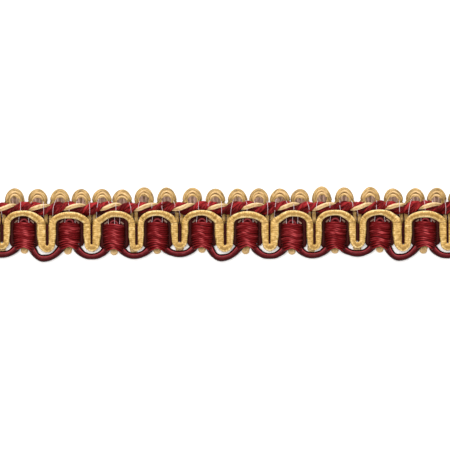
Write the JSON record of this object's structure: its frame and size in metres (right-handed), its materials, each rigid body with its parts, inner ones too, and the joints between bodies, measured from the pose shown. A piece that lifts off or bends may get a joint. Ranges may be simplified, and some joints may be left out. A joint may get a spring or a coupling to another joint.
{
  "type": "scalloped gimp braid trim",
  "caption": "Cut length of decorative gimp braid with looped edge, twisted rope, wound blocks and scalloped cords, laid flat for sewing or gluing over seams and edges.",
  "frame": {"origin": "under the middle of the braid, on the surface it lies on", "axes": "+X along the braid, +Y towards its looped edge, +Z out of its face"},
  "size_m": [0.0904, 0.0125, 0.0034],
  "materials": {
    "gold_loops": "satin",
    "burgundy_cord": "satin",
    "burgundy_winding": "satin",
    "rope_plies": "satin",
    "gold_cord": "satin"
  },
  "bodies": {
    "root": {"gold_loop_yarn": "gold_loops", "burgundy_scallop_cord": "burgundy_cord", "wound_block_01": "burgundy_winding", "wound_block_02": "burgundy_winding", "wound_block_03": "burgundy_winding", "wound_block_04": "burgundy_winding", "wound_block_05": "burgundy_winding", "wound_block_06": "burgundy_winding", "wound_block_07": "burgundy_winding", "wound_block_08": "burgundy_winding", "wound_block_09": "burgundy_winding", "wound_block_10": "burgundy_winding", "wound_block_11": "burgundy_winding", "wound_block_12": "burgundy_winding", "twisted_rope": "rope_plies", "gold_front_cord": "gold_cord"}
  },
  "joints": []
}
